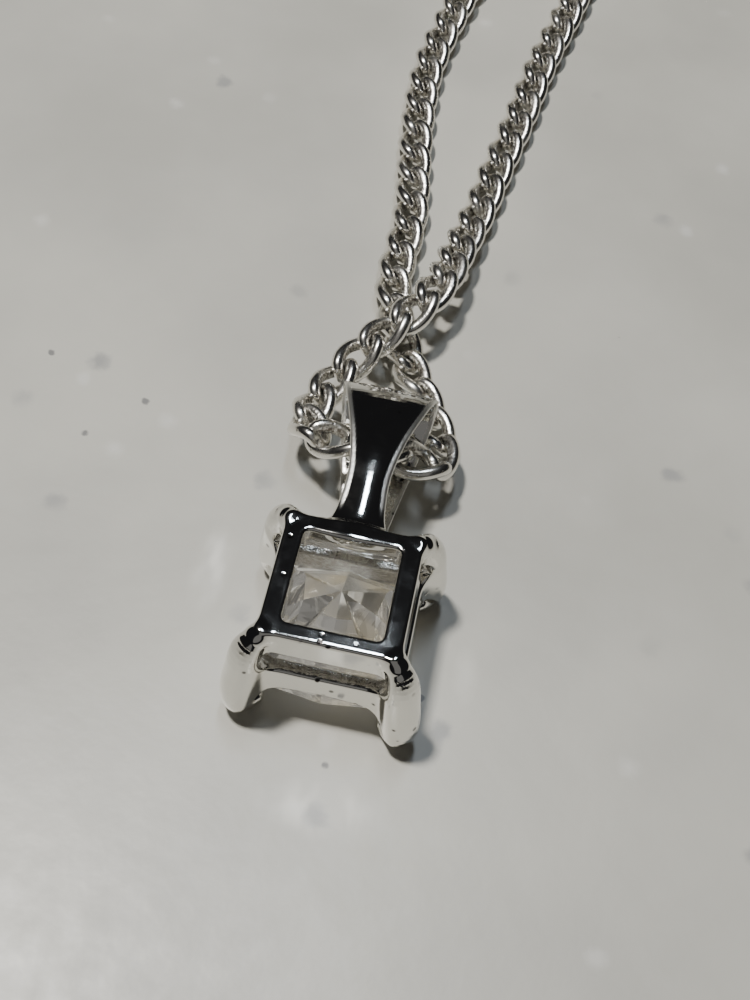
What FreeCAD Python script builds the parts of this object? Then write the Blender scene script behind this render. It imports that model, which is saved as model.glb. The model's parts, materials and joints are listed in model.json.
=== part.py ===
import FreeCAD, Part
import math
import os

# Pendant necklace: a square-cut stone in a two-rail basket with four corner claws, hung by a
# folded tapering bail on a fine chain that closes with a spring ring.  Millimetres, +Z up.
# The pendant lies face down, claw tips on Z = 0, the bail towards +Y.

V = FreeCAD.Vector

# stone
STONE_HALF = 3.0
TABLE_HALF = 2.1
TABLE_Z = 0.45
GIRDLE_Z = 1.20
GIRDLE_HEIGHT = 0.15
CULET_Z = 5.20
CULET_HALF = 0.03

# basket rails: (low z, high z), outer half side, opening half sides in X and Y
BACK_Z = (4.55, 5.80)
BACK_OUTER = 2.82
BACK_WINDOW = (1.95, 2.06)
GIRDLE_RAIL_Z = (2.15, 3.35)
GIRDLE_OUTER = 3.10
GIRDLE_WINDOW = (2.44, 2.44)
RAIL_CORNER = 0.50
WINDOW_CORNER = 0.30
RAIL_EDGE = 0.12

# claws
CLAW_RADIUS = 0.44
CLAW_BUMP_RADIUS = 0.50
CLAW_BACK = 2.75
CLAW_BACK_Z = 5.28
CLAW_FOOT = 3.46
CLAW_TIP = 2.70
CLAW_HOOK_RADIUS = 0.75

# bail: strip thickness, the line of its middle in Y and Z, and its half widths at some Y
BAIL_THICKNESS = 0.35
BAIL_BLANK_HALF = 2.4
BAIL_LINE = [(2.50, 5.42), (3.70, 5.62), (5.30, 5.74), (7.10, 5.72), (9.10, 5.20), (10.40, 4.60),
             (10.82, 3.90), (10.40, 2.90), (9.00, 1.78), (7.40, 1.22), (5.90, 1.20), (4.50, 1.62),
             (2.90, 2.60)]
BAIL_FOLD_Z = 3.90
REAR_HALF = [(2.20, 1.75), (3.60, 1.05), (5.30, 0.90), (7.20, 1.15), (9.20, 1.65), (11.30, 2.10)]
FRONT_HALF = [(2.20, 0.95), (4.60, 1.02), (6.60, 1.28), (9.00, 1.75), (11.30, 2.10)]

# chain: oval links, each turned a quarter turn about the chain from the last
LINK_WIRE = 0.22
LINK_HALF_LENGTH = 1.20
LINK_HALF_WIDTH = 0.78
LINK_PITCH = 1.84
LINK_ROLL = 45.0
CHAIN_Z = 0.80

# the way of the chain from the bail to the hank, along each side
HINGE = (8.40, 3.10)
LEFT_ROUTE = [(0.0, 8.4, 3.1), (-2.3, 8.3, 3.1), (-3.8, 9.1, 2.5), (-4.0, 11.0, 1.8),
              (-3.2, 13.1, 1.6), (-1.6, 15.3, 2.1), (0.2, 17.1, 2.6), (1.1, 19.6, 2.4),
              (1.4, 22.6, 1.4), (2.0, 26.0, 0.8), (2.5, 30.0, 0.8), (3.2, 34.5, 0.8),
              (3.7, 39.1, 0.8), (4.6, 43.6, 0.8), (5.4, 48.4, 0.9)]
RIGHT_ROUTE = [(0.0, 8.4, 3.1), (2.3, 8.3, 3.1), (3.9, 9.3, 2.6), (4.0, 11.2, 1.6),
               (2.7, 13.3, 1.2), (0.5, 15.9, 0.8), (-1.1, 18.4, 0.8), (-1.5, 21.2, 0.8),
               (-1.3, 24.8, 0.8), (-1.9, 28.8, 0.8), (-2.4, 32.9, 0.8), (-2.6, 37.0, 0.8),
               (-2.1, 41.2, 0.8), (-1.4, 45.4, 0.8), (-0.4, 50.0, 0.8), (1.4, 55.0, 0.8),
               (2.8, 60.0, 0.8), (3.2, 64.6, 0.8), (3.2, 69.2, 0.8), (3.0, 73.8, 0.8),
               (2.7, 76.6, 0.8)]

# long hank of the put-away length: both sides wound one over the other, the clasp in its middle
HANK_CENTRE = (0.6, 63.1)
HANK_HALF_WIDTH = 5.0
HANK_STRAIGHT = 9.3
HANK_RISE = 3.80
HANK_TURNS = 2
HANK_STEP = 3.0
HANK_MARGIN = 0.90
HANK_HEIGHT = 8.70
HANK_BEND = (0.42, 0.68)
CLASP_Z = 8.40
CLASP_HEADING = -90.0

# spring ring clasp, about its own centre, gap on its -X side, eye on its +X side (degrees)
CASE_R = 2.15
CASE_TUBE = 0.65
BORE = 0.42
BOLT = 0.38
GAP_HALF = 22.0
SOCKET_DEPTH = 10.0
BORE_STOP = 20.0
BOLT_TAIL = 105.0
BOLT_NOSE = 207.0
KNOB_ANGLE = 132.0
KNOB_RADIUS = 0.20
KNOB_OUT = 3.15
SLOT_ANGLES = (78.0, 138.0)
SLOT_HALF = 0.26
CUT_OVER = 1.0
KNOB_HEAD = 1.4
SPRING_COILS = 12
SPRING_R = 0.28
SPRING_WIRE = 0.06
EYE_R = 0.60
EYE_WIRE = 0.20
RING_R = 1.15
RING_WIRE = 0.25
RING_TILT = 60.0
END_RING_IN = 0.40
RING_PLAY = 0.05


def rounded_square(half_x, half_y, corner, z):
    """A closed wire: a rectangle with round corners, centred on the Z axis."""
    x, y, r = half_x, half_y, corner
    k = r * (1 - math.sqrt(0.5))
    edges = []
    corners = [((x, y - r), (x - k, y - k), (x - r, y)),
               ((-x + r, y), (-x + k, y - k), (-x, y - r)),
               ((-x, -y + r), (-x + k, -y + k), (-x + r, -y)),
               ((x - r, -y), (x - k, -y + k), (x, -y + r))]
    for i, (start, middle, end) in enumerate(corners):
        edges.append(Part.Arc(V(*start, z), V(*middle, z), V(*end, z)).toShape())
        edges.append(Part.LineSegment(V(*end, z), V(*corners[(i + 1) % 4][0], z)).toShape())
    return Part.Wire(edges)


def rail(levels, outer, window):
    """A square rail: a plate with a window, its edges eased all round."""
    low, high = levels
    rise = V(0, 0, high - low)
    plate = Part.Face(rounded_square(outer, outer, RAIL_CORNER, low)).extrude(rise)
    hole = Part.Face(rounded_square(window[0], window[1], WINDOW_CORNER, low)).extrude(rise)
    body = plate.cut(hole)
    eased = [e for e in body.Edges if abs(e.BoundBox.ZMax - e.BoundBox.ZMin) < 1e-6]
    return body.makeFillet(RAIL_EDGE, eased)


def make_stone():
    """Square-cut stone: table, crown, thin girdle and a four-sided pavilion to the culet."""
    sizes = [(TABLE_Z, TABLE_HALF), (GIRDLE_Z, STONE_HALF), (GIRDLE_Z + GIRDLE_HEIGHT, STONE_HALF),
             (CULET_Z, CULET_HALF)]
    rings = []
    for z, half in sizes:
        ring = [V(half, half, z), V(-half, half, z), V(-half, -half, z), V(half, -half, z)]
        rings.append(Part.makePolygon(ring + ring[:1]))
    return Part.makeLoft(rings, True, True)


def make_claw(turn):
    """A round claw: straight from the back rail's corner, then hooked in over the stone."""
    root2 = math.sqrt(2)
    back = V(CLAW_BACK * root2, 0, CLAW_BACK_Z)
    knee = V(CLAW_FOOT * root2, 0, CLAW_RADIUS)
    tip = V(CLAW_TIP * root2, 0, CLAW_RADIUS)
    up = (back - knee).normalize()
    along = (tip - knee).normalize()
    half_angle = up.getAngle(along) / 2
    reach = CLAW_HOOK_RADIUS / math.tan(half_angle)
    start, end = knee + up * reach, knee + along * reach
    centre = knee + (up + along).normalize() * (CLAW_HOOK_RADIUS / math.sin(half_angle))
    middle = centre + (knee - centre).normalize() * CLAW_HOOK_RADIUS
    path = Part.Wire([Part.LineSegment(back, start).toShape(), Part.Arc(start, middle, end).toShape(),
                      Part.LineSegment(end, tip).toShape()])
    section = Part.Wire([Part.makeCircle(CLAW_RADIUS, back, up)])
    claw = path.makePipeShell([section], True, False)
    claw = claw.fuse([Part.makeSphere(CLAW_BUMP_RADIUS, back), Part.makeSphere(CLAW_RADIUS, tip)])
    claw.rotate(V(0, 0, 0), V(0, 0, 1), turn)
    return claw.removeSplitter()


def spline(points):
    """A smooth curve through the points."""
    curve = Part.BSplineCurve()
    curve.interpolate(points)
    return curve.toShape()


def outline_prism(half_widths, low, high):
    """A plate of varying width along Y, the same on both sides of X = 0."""
    right = [V(half, y, low) for y, half in half_widths]
    left = [V(-p.x, p.y, p.z) for p in right]
    wire = Part.Wire(Part.__sortEdges__([
        spline(right), spline(left), Part.LineSegment(right[0], left[0]).toShape(),
        Part.LineSegment(right[-1], left[-1]).toShape()]))
    return Part.Face(wire).extrude(V(0, 0, high - low))


def make_bail(rails):
    """A strip folded over the chain: its rear and front leaves taper towards the basket."""
    line = [V(0, y, z) for y, z in BAIL_LINE]
    path = Part.Wire([spline(line)])
    along = path.Edges[0].tangentAt(path.Edges[0].FirstParameter)
    across = V(1, 0, 0) * BAIL_BLANK_HALF
    thick = V(1, 0, 0).cross(along).normalize() * (BAIL_THICKNESS / 2)
    corners = [line[0] + across + thick, line[0] - across + thick, line[0] - across - thick,
               line[0] + across - thick]
    sweep = Part.BRepOffsetAPI.MakePipeShell(path)
    sweep.setBiNormalMode(V(1, 0, 0))
    sweep.add(Part.makePolygon(corners + corners[:1]))
    sweep.build()
    sweep.makeSolid()
    strip = sweep.shape()
    rear = strip.common(outline_prism(REAR_HALF, BAIL_FOLD_Z, BACK_Z[1] + CUT_OVER))
    front = strip.common(outline_prism(FRONT_HALF, 0, BAIL_FOLD_Z))
    bail = rear.fuse(front).cut(rails[0]).cut(rails[1])
    return max(bail.Solids, key=lambda solid: solid.Volume)


def make_link():
    """An oval link of round wire in the XY plane, its length along X."""
    straight = LINK_HALF_LENGTH - LINK_HALF_WIDTH
    parts = []
    for side in (1, -1):
        wire_end = V(-straight, side * LINK_HALF_WIDTH, 0)
        parts.append(Part.makeCylinder(LINK_WIRE, 2 * straight, wire_end, V(1, 0, 0)))
        section = Part.Face(Part.Wire([Part.makeCircle(
            LINK_WIRE, V(side * straight, -LINK_HALF_WIDTH, 0), V(1, 0, 0))]))
        parts.append(section.revolve(V(side * straight, 0, 0), V(0, 0, 1), side * 180))
    return parts[0].fuse(parts[1:]).removeSplitter()


def nurbs(points):
    """The smooth line of the chain: a clamped quadratic curve on its control points."""
    spans = len(points) - 2
    curve = Part.BSplineCurve()
    curve.buildFromPolesMultsKnots(points, [3] + [1] * (spans - 1) + [3],
                                   [float(i) for i in range(spans + 1)], False, 2)
    return curve


def hank_turn():
    """The length of one turn of the hank."""
    return 4 * HANK_STRAIGHT + 2 * math.pi * HANK_HALF_WIDTH


def on_hank(run):
    """The place in plan at some distance along the hank's turn, from its right straight's start."""
    half_turns, rest = divmod(run, hank_turn() / 2)
    sign = -1 if half_turns % 2 else 1
    if rest < 2 * HANK_STRAIGHT:
        return sign * HANK_HALF_WIDTH, sign * (rest - HANK_STRAIGHT)
    angle = (rest - 2 * HANK_STRAIGHT) / HANK_HALF_WIDTH
    return (sign * HANK_HALF_WIDTH * math.cos(angle),
            sign * (HANK_STRAIGHT + HANK_HALF_WIDTH * math.sin(angle)))


def hank_arm(side):
    """Control points of one side of the hank, climbing evenly, and its bend in to the clasp."""
    quarter = math.pi * HANK_HALF_WIDTH / 2
    start = 0.0 if side > 0 else -quarter
    stop = HANK_TURNS * hank_turn() - 2 * quarter
    steps = round((stop - start) / HANK_STEP)
    arm = []
    for i in range(steps + 1):
        run = start + (stop - start) * i / steps
        height = CHAIN_Z + HANK_RISE * (run + quarter) / hank_turn()
        arm.append((*on_hank(run), height))
    near, far = (-HANK_STRAIGHT - HANK_HALF_WIDTH * share for share in HANK_BEND)
    for x, y in ((-HANK_HALF_WIDTH, near), (-HANK_HALF_WIDTH / 2, far), (0, near),
                 (0, -HANK_STRAIGHT), (0, -chain_end_reach())):
        arm.append((x, y, CLASP_Z))
    return [V(HANK_CENTRE[0] + side * x, HANK_CENTRE[1] + side * y, z) for x, y, z in arm]


def eye_x():
    """How far the clasp's eye stands from its centre."""
    return CASE_R + CASE_TUBE + EYE_R - EYE_WIRE / 4


def ring_reach():
    """From a ring's centre to the centre of the link that pulls on it."""
    return RING_R - RING_WIRE - LINK_WIRE - RING_PLAY + LINK_HALF_LENGTH


def chain_end_reach():
    """Half the distance between the two end links, with the clasp between them."""
    eye_side = eye_x() + RING_R + ring_reach()
    gap_side = CASE_R + END_RING_IN + ring_reach()
    return (eye_side + gap_side) / 2


def link_roll(i, side):
    """Every other link lies turned the other way; the sides mirror each other at the bail."""
    return side * (LINK_ROLL if i % 2 == 0 else -LINK_ROLL)


def links_along(curve, side):
    """Every link of one side of the chain, its first on the bail and its last at the clasp."""
    link = make_link()
    count = round(curve.length() / LINK_PITCH)
    pitch = curve.length() / count
    found = []
    for i in range(count + 1):
        parameter = curve.LastParameter
        if i < count:
            parameter = curve.parameterAtDistance(i * pitch, curve.FirstParameter)
        along = curve.tangent(parameter)[0]
        across = V(0, 0, 1).cross(along).normalize()
        up = along.cross(across)
        place = curve.value(parameter)
        matrix = FreeCAD.Matrix(along.x, across.x, up.x, place.x, along.y, across.y, up.y, place.y,
                                along.z, across.z, up.z, place.z, 0, 0, 0, 1)
        roll = FreeCAD.Placement(V(0, 0, 0), FreeCAD.Rotation(V(1, 0, 0), link_roll(i, side)))
        piece = link.copy()
        piece.Placement = FreeCAD.Placement(matrix).multiply(roll)
        found.append(piece)
    return found


def outside_hank(link):
    """Whether a link lies clear of the hank's solid, on its outer side."""
    centre = link.BoundBox.Center
    past = max(abs(centre.y - HANK_CENTRE[1]) - HANK_STRAIGHT, 0)
    away = math.hypot(centre.x - HANK_CENTRE[0], past)
    return away > HANK_HALF_WIDTH + HANK_MARGIN + LINK_HALF_LENGTH + LINK_WIRE


def hank_outline(half_width):
    """A long shape with round ends, as high as the hank."""
    length = 2 * HANK_STRAIGHT
    outline = Part.makeBox(2 * half_width, length, HANK_HEIGHT,
                           V(-half_width, -HANK_STRAIGHT, 0))
    ends = [Part.makeCylinder(half_width, HANK_HEIGHT, V(0, y, 0))
            for y in (-HANK_STRAIGHT, HANK_STRAIGHT)]
    return outline.fuse(ends).removeSplitter()


def make_hank():
    """The outer shape of the put-away turns: a long ring round the clasp."""
    ring = hank_outline(HANK_HALF_WIDTH + HANK_MARGIN).cut(
        hank_outline(HANK_HALF_WIDTH - HANK_MARGIN))
    ring.translate(V(*HANK_CENTRE, 0))
    return ring


def ring_arc(radius, start, stop, centre_r=CASE_R):
    """A bent round bar about the clasp's centre, between two angles in degrees."""
    bar = Part.Face(Part.Wire([Part.makeCircle(radius, V(centre_r, 0, 0), V(0, 1, 0))]))
    bar = bar.revolve(V(0, 0, 0), V(0, 0, 1), stop - start)
    bar.rotate(V(0, 0, 0), V(0, 0, 1), start)
    return bar


def at_angle(radius, angle):
    """A point in the clasp's plane."""
    return V(radius * math.cos(math.radians(angle)), radius * math.sin(math.radians(angle)), 0)


def make_case():
    """The tube of the spring ring, bored for its bolt, with a slot for the knob."""
    case = ring_arc(CASE_TUBE, GAP_HALF - 180, 180 - GAP_HALF)
    case = case.cut(ring_arc(BORE, BORE_STOP, 180 + CUT_OVER - GAP_HALF))
    case = case.cut(ring_arc(BORE, 180 - CUT_OVER + GAP_HALF, 180 + GAP_HALF + SOCKET_DEPTH))
    slot = Part.makePolygon([V(CASE_R, 0, -SLOT_HALF), V(CASE_R + CUT_OVER, 0, -SLOT_HALF),
                             V(CASE_R + CUT_OVER, 0, SLOT_HALF), V(CASE_R, 0, SLOT_HALF),
                             V(CASE_R, 0, -SLOT_HALF)])
    slot = Part.Face(slot).revolve(V(0, 0, 0), V(0, 0, 1), SLOT_ANGLES[1] - SLOT_ANGLES[0])
    slot.rotate(V(0, 0, 0), V(0, 0, 1), SLOT_ANGLES[0])
    return case.cut(slot)


def make_bolt():
    """The curved bolt that closes the gap, with the knob that draws it back."""
    bolt = ring_arc(BOLT, BOLT_TAIL, BOLT_NOSE)
    out = at_angle(1, KNOB_ANGLE)
    stem = Part.makeCylinder(KNOB_RADIUS, KNOB_OUT - CASE_R, out * CASE_R, out)
    return bolt.fuse([stem, Part.makeSphere(KNOB_RADIUS * KNOB_HEAD, out * KNOB_OUT)]).removeSplitter()


def make_spring():
    """The spring behind the bolt, as its separate turns."""
    turns = []
    span = BOLT_TAIL - BORE_STOP
    for i in range(SPRING_COILS):
        angle = BORE_STOP + span * (i + 0.5) / SPRING_COILS
        turns.append(Part.makeTorus(SPRING_R, SPRING_WIRE, at_angle(CASE_R, angle),
                                    at_angle(1, angle + 90)))
    return Part.makeCompound(turns)


def make_ring(x, tilt):
    """A jump ring whose plane holds the clasp's X axis."""
    normal = V(0, -math.sin(math.radians(tilt)), math.cos(math.radians(tilt)))
    return Part.makeTorus(RING_R, RING_WIRE, V(x, 0, 0), normal)


def make_pendant():
    """The stone in its basket, and the bail."""
    claws = {}
    for name, turn in (("rear_right", 45), ("rear_left", 135), ("front_left", 225),
                       ("front_right", 315)):
        claws["claw_" + name] = make_claw(turn)
    rails = [rail(BACK_Z, BACK_OUTER, BACK_WINDOW), rail(GIRDLE_RAIL_Z, GIRDLE_OUTER, GIRDLE_WINDOW)]
    rails = [body.cut(list(claws.values())) for body in rails]
    nodes = {"stone": make_stone(), "back_gallery_rail": rails[0], "girdle_rail": rails[1]}
    nodes.update(claws)
    nodes["bail"] = make_bail(rails)
    return nodes


def make_clasp(left_count, right_count):
    """The spring ring clasp and its two rings, in the middle of the hank."""
    left_tilt = math.copysign(RING_TILT, link_roll(left_count, 1))
    right_tilt = -math.copysign(RING_TILT, link_roll(right_count, -1))
    nodes = {
        "spring_ring_case": make_case(),
        "spring_ring_eye": Part.makeTorus(EYE_R, EYE_WIRE, V(eye_x(), 0, 0), V(0, 0, 1)),
        "spring_ring_bolt": make_bolt(),
        "bolt_spring": make_spring(),
        "clasp_jump_ring": make_ring(eye_x() + RING_R, left_tilt),
        "end_ring": make_ring(-CASE_R - END_RING_IN, right_tilt),
    }
    nodes["spring_ring_eye"] = nodes["spring_ring_eye"].cut(nodes["spring_ring_case"])
    eye_side = eye_x() + RING_R + ring_reach()
    offset = at_angle(chain_end_reach() - eye_side, CLASP_HEADING)
    for shape in nodes.values():
        shape.rotate(V(0, 0, 0), V(0, 0, 1), CLASP_HEADING)
        shape.translate(V(*HANK_CENTRE, CLASP_Z) + offset)
    return nodes


def main():
    """Make every piece, set the pendant over the origin and write one file for each."""
    os.makedirs("parts", exist_ok=True)
    nodes = make_pendant()
    pendant = Part.makeCompound(list(nodes.values())).optimalBoundingBox(False)
    left = nurbs([V(*p) for p in LEFT_ROUTE] + hank_arm(1))
    right = nurbs([V(*p) for p in RIGHT_ROUTE] + hank_arm(-1))
    left_links, right_links = links_along(left, 1), links_along(right, -1)
    nodes["left_chain_links"] = Part.makeCompound([s for s in left_links if outside_hank(s)])
    nodes["right_chain_links"] = Part.makeCompound([s for s in right_links[1:] if outside_hank(s)])
    nodes["chain_hank"] = make_hank()
    nodes["left_end_link"] = left_links[-1]
    nodes["right_end_link"] = right_links[-1]
    nodes.update(make_clasp(len(left_links) - 1, len(right_links) - 1))

    shift = V(0, -(pendant.YMin + pendant.YMax) / 2, 0)
    for name, shape in nodes.items():
        shape.translate(shift)
        shape.exportStep("parts/%s.step" % name)
        print(name, shape.isValid(), round(shape.Volume, 3), len(shape.Solids))
    print("pendant", pendant)
    print("shift", shift, "hinge", HINGE[0] + shift.y, HINGE[1])
    for name, curve in (("left", left), ("right", right)):
        print(name, "length", round(curve.length(), 2))
    print("whole length", round(left.length() + right.length() + 2 * chain_end_reach(), 1))


main()
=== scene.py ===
"""Pendant necklace: the looks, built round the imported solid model, in metres, +Z up."""

import json
import logging
import math
from dataclasses import dataclass, field
from enum import Enum
from itertools import compress
from typing import Callable, Sequence

import bmesh
import bpy
import numpy as np
from mathutils import Matrix, Vector


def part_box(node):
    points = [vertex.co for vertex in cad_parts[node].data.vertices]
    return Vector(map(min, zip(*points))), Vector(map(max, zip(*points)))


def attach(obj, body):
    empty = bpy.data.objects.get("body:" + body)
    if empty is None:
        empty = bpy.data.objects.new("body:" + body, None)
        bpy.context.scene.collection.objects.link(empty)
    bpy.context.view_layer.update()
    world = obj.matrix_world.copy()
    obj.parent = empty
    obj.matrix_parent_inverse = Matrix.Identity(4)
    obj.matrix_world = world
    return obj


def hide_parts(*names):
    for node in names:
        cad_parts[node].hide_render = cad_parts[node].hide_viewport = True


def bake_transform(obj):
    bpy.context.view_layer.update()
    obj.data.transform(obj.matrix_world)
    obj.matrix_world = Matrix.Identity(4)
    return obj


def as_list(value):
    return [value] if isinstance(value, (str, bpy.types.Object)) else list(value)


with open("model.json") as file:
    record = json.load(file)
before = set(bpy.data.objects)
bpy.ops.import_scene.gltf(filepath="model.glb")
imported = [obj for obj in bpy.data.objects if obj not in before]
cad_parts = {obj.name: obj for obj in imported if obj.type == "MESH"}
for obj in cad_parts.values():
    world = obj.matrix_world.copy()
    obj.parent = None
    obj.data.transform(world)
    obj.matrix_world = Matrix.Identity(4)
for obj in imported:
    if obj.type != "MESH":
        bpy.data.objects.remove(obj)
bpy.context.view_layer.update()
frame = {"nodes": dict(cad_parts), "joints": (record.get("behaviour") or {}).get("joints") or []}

LOG = logging.getLogger("necklace")
MM = 0.001
Array = np.ndarray
Colour = tuple[float, float, float]
UP = np.array([0.0, 0.0, 1.0])
ROOT_TWO = math.sqrt(2)


def stone_centre() -> Array:
    """The point under the stone's middle, in millimetres: every pendant size counts from it.

    Returns:
        X, Y and Z of the point, with Z on the table.
    """
    low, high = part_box("stone")
    return np.array([(low.x + high.x) / 2, (low.y + high.y) / 2, 0.0]) / MM


def log_pieces(pieces: Sequence[bpy.types.Object]) -> None:
    """Report each piece that has been made.

    Args:
        pieces: the finished pieces.
    """
    for piece in pieces:
        if piece.type == "MESH":
            LOG.info("%s: %d faces", piece.name, len(piece.data.polygons))
        else:
            LOG.info("%s: %s", piece.name, piece.type.lower())


# ---------------------------------------------------------------- shader writing

class Signal:
    """One output socket of a material's node tree, with arithmetic on it."""

    def __init__(self, maker: "Finish", socket: bpy.types.NodeSocket | None) -> None:
        """Keep the socket and the tree that it belongs to.

        Args:
            maker: the material that the socket is in.
            socket: the output; None where a node has no output.
        """
        self.maker = maker
        self.socket = socket

    def _math(self, operation: str, first: object, second: object) -> "Signal":
        """Add one Math node.

        Args:
            operation: the Math node's operation.
            first: its first value or signal.
            second: its second value or signal.

        Returns:
            The node's result.
        """
        return self.maker.node("ShaderNodeMath", {"operation": operation}, {0: first, 1: second})

    def __add__(self, other: object) -> "Signal":
        """Sum."""
        return self._math("ADD", self, other)

    def __radd__(self, other: object) -> "Signal":
        """Sum, reflected."""
        return self._math("ADD", other, self)

    def __sub__(self, other: object) -> "Signal":
        """Difference."""
        return self._math("SUBTRACT", self, other)

    def __rsub__(self, other: object) -> "Signal":
        """Difference, reflected."""
        return self._math("SUBTRACT", other, self)

    def __mul__(self, other: object) -> "Signal":
        """Product."""
        return self._math("MULTIPLY", self, other)

    def __rmul__(self, other: object) -> "Signal":
        """Product, reflected."""
        return self._math("MULTIPLY", other, self)

    def above(self, low: float, high: float) -> "Signal":
        """A smooth step.

        Args:
            low: the value where the step starts, at 0.
            high: the value where the step ends, at 1.

        Returns:
            The stepped signal.
        """
        settings = {"interpolation_type": "SMOOTHSTEP"}
        inputs = {0: self, 1: low, 2: high, 3: 0.0, 4: 1.0}
        return self.maker.node("ShaderNodeMapRange", settings, inputs)


class Finish:
    """A material under construction: one node tree with its shader at the end."""

    def __init__(self, name: str) -> None:
        """Start an empty node tree.

        Args:
            name: the material's name.
        """
        self.material = bpy.data.materials.new(name)
        self.material.use_nodes = True
        self.tree = self.material.node_tree
        self.tree.nodes.clear()

    def node(self, kind: str, settings: dict[str, object], inputs: dict[object, object],
             output: object = 0) -> Signal:
        """Add any node.

        Args:
            kind: the node's type.
            settings: its own properties, set before its sockets; "stops" are a ramp's.
            inputs: a value or a Signal for each socket, by index or name.
            output: the wanted output, by index or name; None where the node has none.

        Returns:
            The wanted output as a signal.
        """
        made = self.tree.nodes.new(kind)
        for key, value in settings.items():
            if key == "stops":
                self._set_stops(made.color_ramp, value)
            else:
                setattr(made, key, value)
        for key, value in inputs.items():
            if isinstance(value, Signal):
                self.tree.links.new(value.socket, made.inputs[key])
            else:
                made.inputs[key].default_value = value
        return Signal(self, None if output is None else made.outputs[output])

    @staticmethod
    def _set_stops(ramp: bpy.types.ColorRamp, stops: Sequence[tuple[float, Colour]]) -> None:
        """Write a ramp's stops.

        Args:
            ramp: the ramp.
            stops: a place and a colour for each stop, from low to high.
        """
        while len(ramp.elements) < len(stops):
            ramp.elements.new(0.5)
        for element, (place, colour) in zip(ramp.elements, stops):
            element.position = place
            element.color = (*colour, 1.0)

    def place(self) -> Signal:
        """Object coordinates, in metres."""
        return self.node("ShaderNodeTexCoord", {}, {}, "Object")

    def attribute(self, name: str) -> Signal:
        """A number stored on the mesh.

        Args:
            name: the attribute's name.

        Returns:
            Its value.
        """
        return self.node("ShaderNodeAttribute", {"attribute_name": name}, {}, "Fac")

    def noise(self, scale: float, detail: float = 3.0,
              stretch: Sequence[float] = (1, 1, 1)) -> Signal:
        """Fractal noise over the object.

        Args:
            scale: its frequency, per metre.
            detail: its number of octaves.
            stretch: how much finer it is along each axis.

        Returns:
            A value about 0.5.
        """
        where = self.node("ShaderNodeMapping", {}, {"Vector": self.place(), "Scale": stretch})
        inputs = {"Vector": where, "Scale": scale, "Detail": detail}
        return self.node("ShaderNodeTexNoise", {}, inputs)

    def cells(self, scale: float, flat: bool = False) -> Signal:
        """Distance to the nearest of many scattered points.

        Args:
            scale: their frequency, per metre.
            flat: whether the points are scattered over the plan alone.

        Returns:
            0 at a point, rising away from it.
        """
        settings = {"voronoi_dimensions": "2D" if flat else "3D"}
        return self.node("ShaderNodeTexVoronoi", settings, {"Vector": self.place(), "Scale": scale},
                         "Distance")

    def mix(self, share: object, first: object, second: object) -> Signal:
        """Blend two colours.

        Args:
            share: how much of the second shows.
            first: a colour or signal.
            second: a colour or signal.

        Returns:
            The blend.
        """
        one, two = (value if isinstance(value, Signal) else (*value, 1.0)
                    for value in (first, second))
        return self.node("ShaderNodeMix", {"data_type": "RGBA"}, {0: share, 6: one, 7: two}, 2)

    def bump(self, height: Signal, strength: float, distance: float) -> Signal:
        """Turn a height into a normal.

        Args:
            height: the height signal.
            strength: the bump's strength.
            distance: the height in metres for a value of one.

        Returns:
            The bent normal.
        """
        values = {"Height": height, "Strength": strength, "Distance": distance}
        return self.node("ShaderNodeBump", {}, values)

    def shade(self, inputs: dict[str, object]) -> bpy.types.Material:
        """Close the tree with one Principled shader.

        Args:
            inputs: values and signals for its sockets.

        Returns:
            The finished material.
        """
        shader = self.node("ShaderNodeBsdfPrincipled", {}, inputs)
        self.node("ShaderNodeOutputMaterial", {}, {"Surface": shader}, None)
        return self.material


@dataclass(frozen=True)
class PolishedSilver:
    """Bright cast silver: a mirror with fine rubbing, worn edges, rough hollows and a few pits."""

    name: str = "polished_silver"
    colour: Colour = (0.81, 0.80, 0.76)
    pit_colour: Colour = (0.035, 0.03, 0.028)
    # colour of the rough hollows between the casting's rails; the chain uses it for painted shade
    # on each wire's inner side
    hollow_and_shade_colour: Colour = (0.60, 0.57, 0.51)
    smooth: float = 0.05
    rubbed: float = 0.10
    pit_scale: float = 1500.0
    pits: float = 1.0
    relief: float = 0.022

    def material(self) -> bpy.types.Material:
        """Write the material.

        Returns:
            The finished material; it reads the mesh's "wear" and "hollow" attributes.
        """
        made = Finish(self.name)
        cloud = made.noise(900.0, 4.0)
        streak = made.noise(2600.0, 3.0, (1.0, 0.18, 1.0))
        wear = made.attribute("wear")
        hollow = made.attribute("hollow")
        patches = made.noise(330.0, 2.0).above(0.47, 0.58)
        pit = (1.0 - made.cells(self.pit_scale).above(0.10, 0.20)) * patches * self.pits
        grain = made.noise(7000.0, 3.0)
        # darker grains in the hollows: on the casting the rough inner walls, on the chain painted
        # shade where each wire faces into its link
        base = made.mix(hollow * grain.above(0.35, 0.65), self.colour, self.hollow_and_shade_colour)
        base = made.mix(pit, base, self.pit_colour)
        rough = self.smooth + cloud.above(0.45, 0.75) * (self.rubbed - self.smooth)
        rough = rough + wear * 0.30 + hollow * 0.15 + pit * 0.12
        height = streak * 0.10 + cloud * 0.34 + wear * grain * 0.9 + hollow * grain * 5.0
        normal = made.bump(height - pit * 1.4, 0.5, self.relief * MM)
        return made.shade({"Base Color": base, "Metallic": 1.0, "Roughness": rough,
                           "Normal": normal})


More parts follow.
